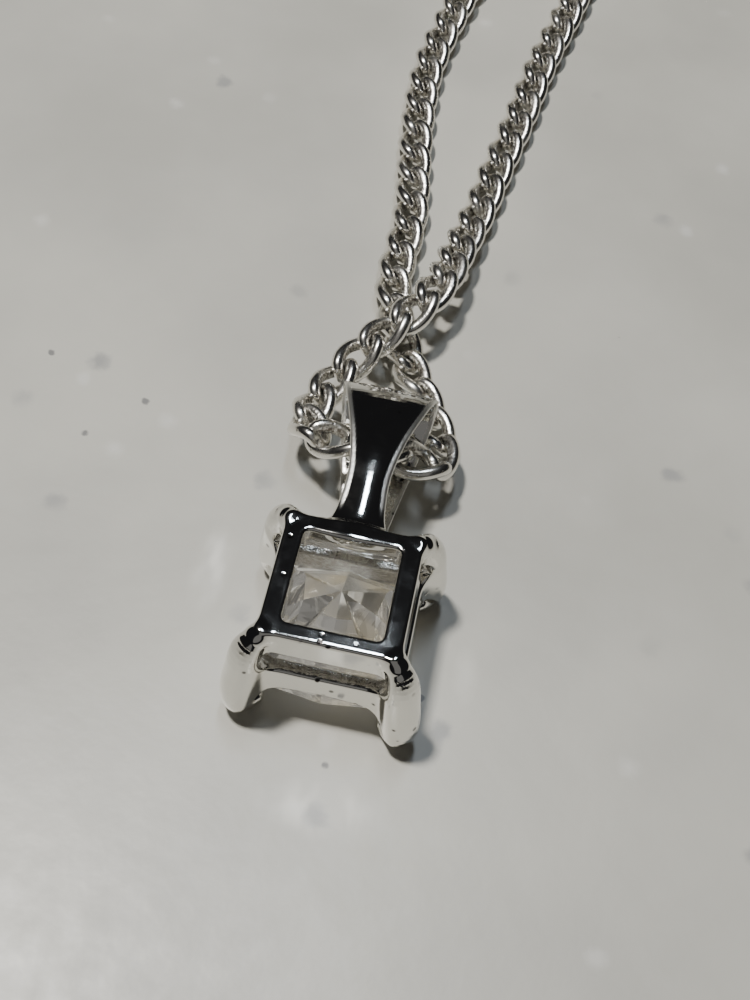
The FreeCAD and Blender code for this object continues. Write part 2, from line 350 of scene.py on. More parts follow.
@dataclass(frozen=True)
class ClearStone:
    """A clear, strongly refracting cut stone with warm patches, a trace of dust, and painted
    glints: some facets glow warm white though no lamp lights them.
    """

    name: str = "clear_stone"
    colour: Colour = (0.985, 0.98, 0.965)
    warm: Colour = (1.0, 0.86, 0.58)
    # the painted glints: the glow of the dullest facet and of the brightest
    unlit: Colour = (0.03, 0.028, 0.024)
    lit: Colour = (1.0, 0.97, 0.90)
    refraction: float = 2.12
    painted_glint_strength: float = 0.15

    def material(self) -> bpy.types.Material:
        """Write the material.

        Returns:
            The finished material; it reads each facet's "glint", how brightly its painted glint
            glows.
        """
        made = Finish(self.name)
        tint = made.noise(260.0, 2.0).above(0.45, 0.68)
        dust = made.noise(5200.0, 4.0).above(0.60, 0.80)
        base = made.mix(tint, self.colour, self.warm)
        rough = 0.004 + dust * 0.08
        # painted glints: each facet glows by its own glint value
        glint = made.mix(made.attribute("glint"), self.unlit, self.lit)
        values = {"Base Color": base, "Roughness": rough, "IOR": self.refraction,
                  "Transmission Weight": 1.0, "Emission Color": glint,
                  "Emission Strength": self.painted_glint_strength}
        return made.shade(values)


@dataclass(frozen=True)
class PaleTable:
    """A pale stone-like table top: faint clouds, dark and light flecks, a soft gloss, and painted
    patches of the light that the pendant throws, glowing though they are no lamp.
    """

    name: str = "pale_table"
    light: Colour = (0.60, 0.588, 0.53)
    dark: Colour = (0.48, 0.472, 0.43)
    shine: Colour = (0.98, 0.97, 0.93)
    unlit: Colour = (0.0, 0.0, 0.0)
    # the patches of light: each one's middle in X and Y, and its half sizes
    glows: Sequence[Sequence[float]] = (
        (-6.0, 2.8, 1.1, 2.8), (1.0, -6.8, 3.2, 1.5), (5.6, 0.2, 0.7, 1.6))
    glow_strength: float = 0.42
    relief: float = 0.08
    fleck: Colour = (0.16, 0.16, 0.165)
    grey: Colour = (0.33, 0.33, 0.325)
    pale: Colour = (0.72, 0.71, 0.68)

    def material(self) -> bpy.types.Material:
        """Write the material.

        Returns:
            The finished material.
        """
        made = Finish(self.name)
        cloud = made.noise(60.0, 4.0)
        fine = made.noise(900.0, 3.0)
        base = made.mix(cloud.above(0.30, 0.72), self.dark, self.light)
        warp = made.noise(1500.0, 2.0) * 0.09
        soft = 1.0 - (made.cells(120.0, True) + warp).above(0.06, 0.13)
        base = made.mix(soft * made.noise(80.0, 1.0).above(0.46, 0.60) * 0.8, base, self.grey)
        pale = 1.0 - (made.cells(170.0, True) + warp).above(0.05, 0.15)
        base = made.mix(pale * made.noise(95.0, 1.0).above(0.52, 0.60) * 0.5, base, self.pale)
        sharp = 1.0 - (made.cells(150.0, True) + warp).above(0.055, 0.075)
        base = made.mix(sharp * made.noise(60.0, 1.0).above(0.55, 0.62) * 0.8, base, self.fleck)
        shine = self.unlit
        for x, y, half_x, half_y in self.glows:
            shine = made.mix(self.glow(made, (x, y), (half_x, half_y)), shine, self.shine)
        rough = 0.30 + fine * 0.16
        normal = made.bump(made.noise(420.0, 3.0) + fine * 0.3, 0.35, self.relief * MM)
        return made.shade({"Base Color": base, "Roughness": rough, "Normal": normal,
                           "Emission Color": shine, "Emission Strength": self.glow_strength})

    @staticmethod
    def glow(made: Finish, centre: Sequence[float], half: Sequence[float]) -> Signal:
        """A patch of the light that the pendant throws on the table, broken into streaks.

        Args:
            made: the material.
            centre: its middle in plan, in millimetres from the stone's axis.
            half: its half sizes.

        Returns:
            How bright it is.
        """
        middle = (stone_centre()[:2] + np.array(centre)) / half
        reach = np.array(half) * MM
        settings = {"Vector": made.place(), "Location": (-middle[0], -middle[1], 0.0),
                    "Scale": (1 / reach[0], 1 / reach[1], 0.0)}
        local = made.node("ShaderNodeMapping", {}, settings)
        away = made.node("ShaderNodeVectorMath", {"operation": "LENGTH"}, {0: local}, "Value")
        streak = made.noise(620.0, 2.0, (1.0, 0.5, 1.0)).above(0.42, 0.66)
        return (1.0 - away.above(0.1, 1.0)) * (streak * 0.7 + 0.2)


# ---------------------------------------------------------------- mesh writing

def make_piece(name: str, points: Array, faces: Array, material: bpy.types.Material,
               smooth: bool = True) -> bpy.types.Object:
    """Turn arrays into an object at the origin.

    Args:
        name: the piece's name.
        points: its corners in millimetres, one row each.
        faces: the corner numbers of its faces, one row each.
        material: its finish.
        smooth: whether it is shaded smooth.

    Returns:
        The new object.
    """
    mesh = bpy.data.meshes.new(name)
    mesh.from_pydata((points * MM).tolist(), [], faces.tolist())
    mesh.validate()
    mesh.materials.append(material)
    mesh.polygons.foreach_set("use_smooth", np.full(len(mesh.polygons), smooth))
    made = bpy.data.objects.new(name, mesh)
    bpy.context.scene.collection.objects.link(made)
    return made


def grid_faces(rows: int, columns: int, close_rows: bool) -> Array:
    """Faces of a grid whose columns close on themselves.

    Args:
        rows: the number of rows.
        columns: the number of columns.
        close_rows: whether the last row joins the first.

    Returns:
        Four corner numbers for each face.
    """
    spans = rows if close_rows else rows - 1
    r, c = np.meshgrid(np.arange(spans), np.arange(columns), indexing="ij")
    r2, c2 = (r + 1) % rows, (c + 1) % columns
    faces = np.stack([r * columns + c, r * columns + c2,
                      r2 * columns + c2, r2 * columns + c], -1)
    return faces.reshape(-1, 4)


def smooth_line(points: Array, steps: int) -> Array:
    """A smooth line through its points: each span is the cubic whose end slopes are half the
    difference of the points on either side.

    Args:
        points: the points, one row each, with any number of columns.
        steps: how many steps each span takes.

    Returns:
        The line's points.
    """
    padded = np.concatenate([2 * points[:1] - points[1:2], points, 2 * points[-1:] - points[-2:-1]])
    t = (np.arange(steps) / steps)[None, :, None]
    a, b, c, d = (padded[i:len(padded) - 3 + i, None, :] for i in range(4))
    line = 0.5 * (2 * b + (c - a) * t + (2 * a - 5 * b + 4 * c - d) * t ** 2
                  + (3 * b - a - 3 * c + d) * t ** 3)
    return np.concatenate([line.reshape(-1, points.shape[1]), points[-1:]])


def soft_union(a: Array, b: Array, reach: float) -> Array:
    """The lesser of two distances, with a fillet where they meet: within the fillet's reach one
    gives way evenly to the other, and the sum is lowered most in the middle.

    Args:
        a: one distance.
        b: the other.
        reach: the fillet's size.

    Returns:
        The joined distance.
    """
    h = np.clip(0.5 + 0.5 * (b - a) / reach, 0, 1)
    return b * (1 - h) + a * h - reach * h * (1 - h)


def soft_common(a: Array, b: Array, reach: float) -> Array:
    """The greater of two distances, with a rounded edge where they meet.

    Args:
        a: one distance.
        b: the other.
        reach: the edge's size.

    Returns:
        The shared distance.
    """
    return -soft_union(-a, -b, reach)


def square_distance(x: Array, y: Array, half_x: Array, half_y: Array, corner: float) -> Array:
    """Distance from a rectangle with round corners, centred on the axis, negative inside.

    Args:
        x: places in X.
        y: places in Y.
        half_x: the rectangle's half side in X.
        half_y: the rectangle's half side in Y.
        corner: its corner radius.

    Returns:
        The distance at each place.
    """
    qx, qy = np.abs(x) - half_x + corner, np.abs(y) - half_y + corner
    outside = np.hypot(np.maximum(qx, 0), np.maximum(qy, 0))
    return outside + np.minimum(np.maximum(qx, qy), 0) - corner


def along_line(u: Array, v: Array, line: Array) -> tuple[Array, list[Array]]:
    """The nearest way from places in a plane to a line of short runs.

    Args:
        u: places along the plane's first axis.
        v: places along its second axis.
        line: the line's points; columns past the second are values carried along it.

    Returns:
        The distance at each place, and the carried values at the nearest point.
    """
    best = np.full(np.broadcast(u, v).shape, np.inf)
    carried = [np.zeros(best.shape) for _ in range(line.shape[1] - 2)]
    for a, b in zip(line[:-1], line[1:]):
        run = b[:2] - a[:2]
        t = np.clip(((u - a[0]) * run[0] + (v - a[1]) * run[1]) / (run @ run), 0, 1)
        distance = np.hypot(u - a[0] - t * run[0], v - a[1] - t * run[1])
        nearer = distance < best
        best = np.where(nearer, distance, best)
        for i, values in enumerate(carried):
            carried[i] = np.where(nearer, a[2 + i] + t * (b[2 + i] - a[2 + i]), values)
    return best, carried


def isosurface(distance: Callable[[Array, Array, Array], Array], low: Array, high: Array,
               step: float, passes: int = 3) -> tuple[Array, Array]:
    """The surface where a distance is zero.  Each cell of a grid that the surface crosses gets one
    point, the mean of where it cuts the cell's edges; each crossed grid edge gets the quad of the
    four cells round it; then the points are drawn onto the surface along its slope.

    Args:
        distance: the distance at X, Y and Z, negative inside.
        low: the grid's lowest corner.
        high: its highest corner.
        step: the cell size.
        passes: how many times the points are drawn onto the surface.

    Returns:
        The points, and four point numbers for each face, turned outwards.
    """
    axes = [np.arange(low[i], high[i] + step, step) for i in range(3)]
    value = distance(axes[0][:, None, None], axes[1][None, :, None], axes[2][None, None, :])
    inside = value < 0
    cells = tuple(n - 1 for n in value.shape)
    total, count = np.zeros(cells + (3,)), np.zeros(cells)
    for axis in range(3):
        for corner in ((0, 0), (0, 1), (1, 0), (1, 1)):
            start = np.insert(np.array(corner), axis, 0)
            end = start + np.eye(3, dtype=int)[axis]
            one, two = (tuple(slice(s[i], s[i] + cells[i]) for i in range(3)) for s in (start, end))
            crossed = inside[one] != inside[two]
            a, b = value[one][crossed], value[two][crossed]
            where = np.tile(start.astype(float), (len(a), 1))
            where[:, axis] += a / (a - b)
            total[crossed] += where
            count[crossed] += 1
    active = count > 0
    number = np.full(cells, -1)
    number[active] = np.arange(active.sum())
    base = np.stack(np.nonzero(active), -1)
    offset = total[active] / count[active][:, None]
    points = np.array([axis[0] for axis in axes]) + step * (base + offset)
    faces = []
    for axis in range(3):
        b, c = (axis + 1) % 3, (axis + 2) % 3
        here = [slice(1, -1)] * 3
        here[axis] = slice(0, -1)
        there = list(here)
        there[axis] = slice(1, None)
        first = inside[tuple(here)]
        crossed = np.nonzero(first != inside[tuple(there)])
        cell = np.stack(crossed, -1) + np.array([0 if i == axis else 1 for i in range(3)])
        ring = []
        for back_b, back_c in ((1, 1), (0, 1), (0, 0), (1, 0)):
            at = cell.copy()
            at[:, b] -= back_b
            at[:, c] -= back_c
            ring.append(number[tuple(at.T)])
        quad = np.stack(ring, -1)
        faces.append(np.where(first[crossed][:, None], quad, quad[:, ::-1]))
    for _ in range(passes):
        at, slope = distance_and_slope(distance, points)
        points = points - slope * np.clip(at, -step, step)[:, None] / (slope ** 2).sum(1)[:, None]
    return points, np.concatenate(faces)


def distance_and_slope(distance: Callable[[Array, Array, Array], Array], points: Array,
                       reach: float = 0.004) -> tuple[Array, Array]:
    """A distance and its slope at some points, by differences.

    Args:
        distance: the distance function.
        points: the points, one row each.
        reach: half the step of the differences.

    Returns:
        The distances and their slopes.
    """
    x, y, z = points.T
    slope = [distance(x + reach, y, z) - distance(x - reach, y, z),
             distance(x, y + reach, z) - distance(x, y - reach, z),
             distance(x, y, z + reach) - distance(x, y, z - reach)]
    return distance(x, y, z), np.stack(slope, -1) / (2 * reach)


# ---------------------------------------------------------------- the pendant

@dataclass
class Casting:
    """The pendant's metal: two square rails, four claws and the folded bail, cast as one and
    finished with soft fillets; cut into its named pieces at the solders.  Sizes in millimetres
    from the stone's axis, Z from the table."""

    finish: PolishedSilver = field(default_factory=PolishedSilver)
    cell: float = 0.065
    low: Sequence[float] = (-4.1, -4.1, -0.1)
    high: Sequence[float] = (4.1, 11.3, 6.2)
    back_z: Sequence[float] = (4.50, 5.80)
    girdle_z: Sequence[float] = (1.78, 3.36)
    back_half: float = 2.84
    back_window: Sequence[float] = (1.95, 2.06)
    girdle_half: float = 3.10
    girdle_window: float = 2.42
    wall_lean: float = 0.10
    arch: float = 0.46
    corner: float = 0.45
    edge: float = 0.17
    fillet: float = 0.60
    web: float = 1.05
    claw_squash: float = 0.80
    claw_edge: float = 0.22
    claw_drop: float = 0.02
    arch_half: float = 2.6
    crown: float = 0.55
    strip_edge: float = 0.14
    strip_fillet: float = 0.372
    band: float = 0.27
    # where the pieces are soldered: from the axis along a diagonal, and the height between rails
    solder: float = 3.45
    waist: float = 3.95
    # the bail's root: a point's Y and Z, and how far its plane leans back
    root: Sequence[float] = (2.95, 5.5)
    root_lean: float = 0.16
    # where the worn bands of the strip start along Y, and how softly they do
    band_start: Sequence[float] = (3.3, 0.6)
    band_soft: float = 0.07
    # the rough inner walls: their distance from the axis, lowest and highest level
    inner_wall: float = 2.95
    inner_levels: Sequence[float] = (2.3, 4.56)
    # how finely wear is felt for, and the bend that makes full wear
    wear_reach: float = 0.05
    wear_bend: float = 14.0
    # the box round one claw: its side towards the axis, and the plane that parts it from the bail
    claw_box: Sequence[float] = (1.6, 4.6)
    # distance from the axis along X and Y, height, and radius, from the back to the tip
    claw_line: Sequence[Sequence[float]] = (
        (2.82, 5.30, 0.34), (2.98, 4.98, 0.44), (3.12, 4.40, 0.52), (3.24, 3.20, 0.56),
        (3.36, 2.10, 0.58), (3.40, 1.30, 0.56), (3.32, 0.78, 0.52), (3.06, 0.52, 0.47),
        (2.80, 0.48, 0.42))
    # Y, Z, half width and half thickness of the strip, from the back rail over the fold and down
    bail_line: Sequence[Sequence[float]] = (
        (2.30, 5.28, 1.60, 0.44), (3.00, 5.36, 1.16, 0.32), (3.80, 5.50, 0.96, 0.24),
        (5.30, 5.74, 0.90, 0.20), (7.10, 5.82, 1.20, 0.18), (9.10, 5.36, 1.72, 0.17),
        (10.40, 4.66, 2.06, 0.17), (10.82, 3.90, 2.16, 0.17), (10.40, 2.90, 2.08, 0.17),
        (9.00, 1.78, 1.75, 0.17), (7.40, 1.22, 1.40, 0.17), (5.90, 1.20, 1.17, 0.18),
        (4.50, 1.62, 1.02, 0.20), (2.90, 2.60, 0.98, 0.26))

    def rail(self, x: Array, y: Array, z: Array, levels: Sequence[Array], half: float,
             window: Sequence[float]) -> Array:
        """Distance from a square rail whose walls lean outwards towards the front.

        Args:
            x: places in X.
            y: places in Y.
            z: places in Z.
            levels: its lower and upper face.
            half: its outer half side at its middle height.
            window: its opening's half sides.

        Returns:
            The distance at each place.
        """
        middle = (levels[0] + levels[1]) / 2
        outer = half + self.wall_lean * (middle - z)
        wall = square_distance(x, y, outer, outer, self.corner)
        hole = square_distance(x, y, window[0], window[1], self.corner * 0.6)
        height = np.abs(z - middle) - (levels[1] - levels[0]) / 2
        return soft_common(soft_common(wall, -hole, self.edge), height, self.edge)

    def claws(self, x: Array, y: Array, z: Array) -> Array:
        """Distance from the four claws: round bars along a bent line in each diagonal plane, a
        little wider across than they are thick, and flattened level with the back.

        Args:
            x: places in X.
            y: places in Y.
            z: places in Z.

        Returns:
            The distance at each place.
        """
        out = (np.abs(x) + np.abs(y)) / ROOT_TWO
        across = (np.abs(x) - np.abs(y)) / ROOT_TWO
        line = np.array(self.claw_line)
        line = smooth_line(np.column_stack([line[:, 0] * ROOT_TWO, line[:, 1:]]), 3)
        away, (radius,) = along_line(out, z, line)
        bar = np.hypot(away, across * self.claw_squash) - radius
        return soft_common(bar, z - self.back_z[1] + self.claw_drop, self.claw_edge)

    def bail(self, x: Array, y: Array, z: Array) -> Array:
        """Distance from the folded strip, crowned across its width.

        Args:
            x: places in X.
            y: places in Y.
            z: places in Z.

        Returns:
            The distance at each place.
        """
        line = smooth_line(np.array(self.bail_line), 6)
        away, (width, thick) = along_line(y, z, line)
        bow = self.crown * thick * np.minimum(np.abs(x) / width, 1.0) ** 2
        return soft_common(away - thick + bow, np.abs(x) - width, self.strip_edge)

    def distance(self, x: Array, y: Array, z: Array) -> Array:
        """Distance from the whole casting, negative in the metal.

        Args:
            x: places in X.
            y: places in Y.
            z: places in Z.

        Returns:
            The distance at each place.
        """
        back = self.rail(x, y, z, self.back_z, self.back_half, self.back_window)
        side = np.minimum(np.abs(x), np.abs(y))
        lower = self.girdle_z[0] + self.arch * (1 - (side / self.arch_half) ** 2)
        girdle = self.rail(x, y, z, (lower, self.girdle_z[1]), self.girdle_half,
                           (self.girdle_window, self.girdle_window))
        claws = self.claws(x, y, z)
        body = np.minimum(soft_union(back, claws, self.fillet),
                          soft_union(girdle, claws, self.web))
        return soft_union(body, self.bail(x, y, z), self.strip_fillet)

    def cuts(self) -> dict[str, list[tuple[Array, Array]]]:
        """The planes that part the casting into its pieces.

        Returns:
            For each piece, the planes whose far side is cut away: a point and a normal each.
        """
        diagonals = [np.array([sx, sy, 0.0]) / ROOT_TWO for sx in (1, -1) for sy in (1, -1)]
        corners = [(n * self.solder, n) for n in diagonals]
        lean = np.array([0.0, 1.0, self.root_lean])
        root = (np.array([0.0, *self.root]), lean / np.linalg.norm(lean))
        waist = UP * self.waist
        inner, end = self.claw_box
        pieces = {"back_gallery_rail": corners + [root, (waist, -UP)],
                  "girdle_rail": corners + [root, (waist, UP)],
                  "bail": [(root[0], -root[1])]}
        for n in diagonals:
            along, across = "rear" if n[1] > 0 else "front", "right" if n[0] > 0 else "left"
            beside = np.array([np.sign(n[0]), 0.0, 0.0])
            beyond = np.array([0.0, np.sign(n[1]), 0.0])
            pieces[f"claw_{along}_{across}"] = [
                (n * self.solder, -n), (beside * inner, -beside), (beyond * end, beyond)]
        return pieces

    def build(self) -> list[bpy.types.Object]:
        """Make the surface, part it and dress the pieces.

        Returns:
            The pieces.
        """
        low, high = np.array(self.low), np.array(self.high)
        points, faces = isosurface(self.distance, low, high, self.cell)
        material = self.finish.material()
        whole = make_piece("casting", points, faces, material)
        made = []
        for name, planes in self.cuts().items():
            made.append(self.part(whole.data, name, planes, material))
        bpy.data.objects.remove(whole)
        return made

    def part(self, source: bpy.types.Mesh, name: str, planes: list[tuple[Array, Array]],
             material: bpy.types.Material) -> bpy.types.Object:
        """Cut one piece out of the casting, close it, and store its wear.

        Args:
            source: the whole casting.
            name: the piece's name, which is also its solid's.
            planes: what cuts it.
            material: its finish.

        Returns:
            The piece, riding with the pendant.
        """
        mesh_b = bmesh.new()
        mesh_b.from_mesh(source)
        for point, normal in planes:
            geometry = mesh_b.verts[:] + mesh_b.edges[:] + mesh_b.faces[:]
            bmesh.ops.bisect_plane(mesh_b, geom=geometry, dist=1e-9, plane_co=Vector(point * MM),
                                   plane_no=Vector(normal), clear_outer=True)
        keep_largest(mesh_b)
        open_edges = [e for e in mesh_b.edges if e.is_boundary]
        caps = bmesh.ops.holes_fill(mesh_b, edges=open_edges, sides=0)["faces"]
        for face in caps:
            face.smooth = False
        bmesh.ops.triangulate(mesh_b, faces=caps)
        mesh = bpy.data.meshes.new(name)
        mesh_b.to_mesh(mesh)
        mesh_b.free()
        mesh.materials.clear()
        mesh.materials.append(material)
        self.dress(mesh, name == "bail")
        mesh.transform(Matrix.Translation(Vector(stone_centre() * MM)))
        made = bpy.data.objects.new(name + "_cast", mesh)
        bpy.context.scene.collection.objects.link(made)
        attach(made, "pendant")
        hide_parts(name)
        return made

    def dress(self, mesh: bpy.types.Mesh, banded: bool) -> None:
        """Give a piece the casting's own normals, and its "wear" and "hollow" values.  Wear is how
        sharply the surface turns outwards; hollow marks the inner walls between the rails.

        Args:
            mesh: the piece's mesh, still about the stone's axis.
            banded: whether its strip has a worn band along either side.
        """
        points = np.zeros(len(mesh.vertices) * 3)
        mesh.vertices.foreach_get("co", points)
        points = points.reshape(-1, 3) / MM
        _, slope = distance_and_slope(self.distance, points)
        normal = slope / np.maximum(np.linalg.norm(slope, axis=1, keepdims=True), 1e-9)
        x, y, z = points.T
        reach = self.wear_reach
        bend = sum(self.distance(*(points + s * reach * np.eye(3)[i]).T) for i in range(3)
                   for s in (1, -1)) - 6 * self.distance(x, y, z)
        wear = np.clip(bend / reach ** 2 / self.wear_bend - 0.25, 0, 1)
        if banded:
            _, (width, _) = along_line(y, z, smooth_line(np.array(self.bail_line), 6))
            band = np.clip((np.abs(x) - width + self.band) / self.band_soft, 0, 1)
            start, soft = self.band_start
            wear = np.maximum(wear, band * np.clip((y - start) / soft, 0, 1))
        wall = np.maximum(np.abs(x), np.abs(y))
        floor, top = self.inner_levels
        hollow = np.clip((self.inner_wall - wall) / 0.15, 0, 1)
        hollow = hollow * (z < top) * np.clip((z - floor) / 0.2, 0, 1)
        for name, values in (("wear", wear), ("hollow", hollow)):
            layer = mesh.attributes.new(name, "FLOAT", "POINT")
            layer.data.foreach_set("value", values.astype(np.float32))
        corner_vertex = np.zeros(len(mesh.loops), dtype=np.int32)
        mesh.loops.foreach_get("vertex_index", corner_vertex)
        smooth = np.zeros(len(mesh.polygons), dtype=bool)
        mesh.polygons.foreach_get("use_smooth", smooth)
        totals = np.zeros(len(mesh.polygons), dtype=np.int32)
        mesh.polygons.foreach_get("loop_total", totals)
        flat = np.zeros(len(mesh.polygons) * 3)
        mesh.polygons.foreach_get("normal", flat)
        own = np.repeat(flat.reshape(-1, 3), totals, axis=0)
        chosen = np.where(np.repeat(smooth, totals)[:, None], normal[corner_vertex], own)
        mesh.normals_split_custom_set(chosen.tolist())


def keep_largest(mesh_b: bmesh.types.BMesh) -> None:
    """Drop every loose part of a mesh but the one with the most vertices.  Every vertex starts as
    its own part, and each edge gives both its ends the lesser number, until nothing changes.

    Args:
        mesh_b: the mesh, changed in place.
    """
    mesh = bpy.data.meshes.new("loose_parts")
    mesh_b.to_mesh(mesh)
    ends = np.zeros(len(mesh.edges) * 2, dtype=np.int32)
    mesh.edges.foreach_get("vertices", ends)
    bpy.data.meshes.remove(mesh)
    a, b = ends.reshape(-1, 2).T
    part = np.arange(len(mesh_b.verts))
    while (part[a] != part[b]).any():
        lesser = np.minimum(part[a], part[b])
        np.minimum.at(part, part[a], lesser)
        np.minimum.at(part, part[b], lesser)
        part = part[part]
    loose = part != np.bincount(part).argmax()
    bmesh.ops.delete(mesh_b, geom=list(compress(mesh_b.verts, loose)), context="VERTS")


@dataclass
class Stone:
    """The square-cut stone, as the space inside all of its facet planes."""

    finish: ClearStone = field(default_factory=ClearStone)
    half: float = 2.99
    seed: int = 3
    table_z: float = 0.46
    # pavilion facets: turn from the side's middle, slope, and the radius and height they pass
    pavilion: Sequence[Sequence[float]] = (
        (22.5, 0.975, 0.0, 5.20), (37.0, 0.925, 0.0, 5.20),
        (13.0, 1.384, 1.45, 3.90), (6.0, 2.466, 2.42, 2.685))
    # crown facets: turn, slope, and the radius that they meet the table's height at
    crown_corner: Sequence[float] = (45.0, 0.52, 2.78)
    crown_side: Sequence[float] = (9.0, 0.86, 2.10)
    # facets that differ by less than this, in degrees, are one
    one_facet: float = 0.6
    # how few of the facets get a bright painted glint: the power that an even draw is raised to
    glint_power: float = 2.5

    def planes(self) -> Array:
        """Every facet's plane.

        Returns:
            Rows of a normal and its offset: a point is inside where normal . point <= offset.
        """
        rows = [(0.0, 0.0, -1.0, -self.table_z)]
        for quarter in range(4):
            side = math.radians(90 * quarter)
            rows.append((math.cos(side), math.sin(side), 0.0, self.half))
            for turn, slope, radius, height in self.pavilion:
                for sign in (1, -1):
                    a = side + sign * math.radians(turn)
                    through = slope * radius * math.cos(math.radians(turn)) + height
                    rows.append((slope * math.cos(a), slope * math.sin(a), 1.0, through))
            turn, slope, radius = self.crown_side
            for sign in (1, -1):
                a = side + sign * math.radians(turn)
                through = slope * radius * math.cos(math.radians(turn)) - self.table_z
                rows.append((slope * math.cos(a), slope * math.sin(a), -1.0, through))
            turn, slope, radius = self.crown_corner
            a = side + math.radians(turn)
            rows.append((slope * math.cos(a), slope * math.sin(a), -1.0,
                         slope * radius - self.table_z))
        return np.array(rows)

    def build(self) -> bpy.types.Object:
        """Meet every three planes, keep the points inside all of them, and wrap them.

        Returns:
            The stone, riding with the pendant.
        """
        planes = self.planes()
        n = len(planes)
        i, j, k = (a.ravel() for a in np.meshgrid(*[np.arange(n)] * 3, indexing="ij"))
        chosen = (i < j) & (j < k)
        trio = planes[np.stack([i[chosen], j[chosen], k[chosen]], -1)]
        solid = np.abs(np.linalg.det(trio[:, :, :3])) > 1e-6
        corner = np.linalg.solve(trio[solid][:, :, :3], trio[solid][:, :, 3:])[:, :, 0]
        inside = (corner @ planes[:, :3].T <= planes[:, 3] + 1e-6).all(1)
        corner = np.unique(np.round(corner[inside], 4), axis=0)
        mesh = bpy.data.meshes.new("stone")
        mesh.from_pydata(((corner + stone_centre()) * MM).tolist(), [], [])
        mesh_b = bmesh.new()
        mesh_b.from_mesh(mesh)
        wrapped = bmesh.ops.convex_hull(mesh_b, input=mesh_b.verts[:])
        bmesh.ops.delete(mesh_b, geom=wrapped["geom_interior"], context="VERTS")
        bmesh.ops.dissolve_limit(mesh_b, angle_limit=math.radians(self.one_facet),
                                 verts=mesh_b.verts[:], edges=mesh_b.edges[:])
        bmesh.ops.recalc_face_normals(mesh_b, faces=mesh_b.faces[:])
        mesh_b.to_mesh(mesh)
        mesh_b.free()
        # each facet's painted glint, drawn at random: how brightly it glows
        draw = np.random.default_rng(self.seed).uniform(0, 1, len(mesh.polygons))
        layer = mesh.attributes.new("glint", "FLOAT", "FACE")
        layer.data.foreach_set("value", (draw ** self.glint_power).astype(np.float32))
        mesh.materials.append(self.finish.material())
        made = bpy.data.objects.new("cut_stone", mesh)
        bpy.context.scene.collection.objects.link(made)
        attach(made, "pendant")
        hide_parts("stone")
        return made


# ---------------------------------------------------------------- the chain

class Side(Enum):
    """The two sides of the chain, by where they leave the bail."""

    LEFT = "left"
    RIGHT = "right"


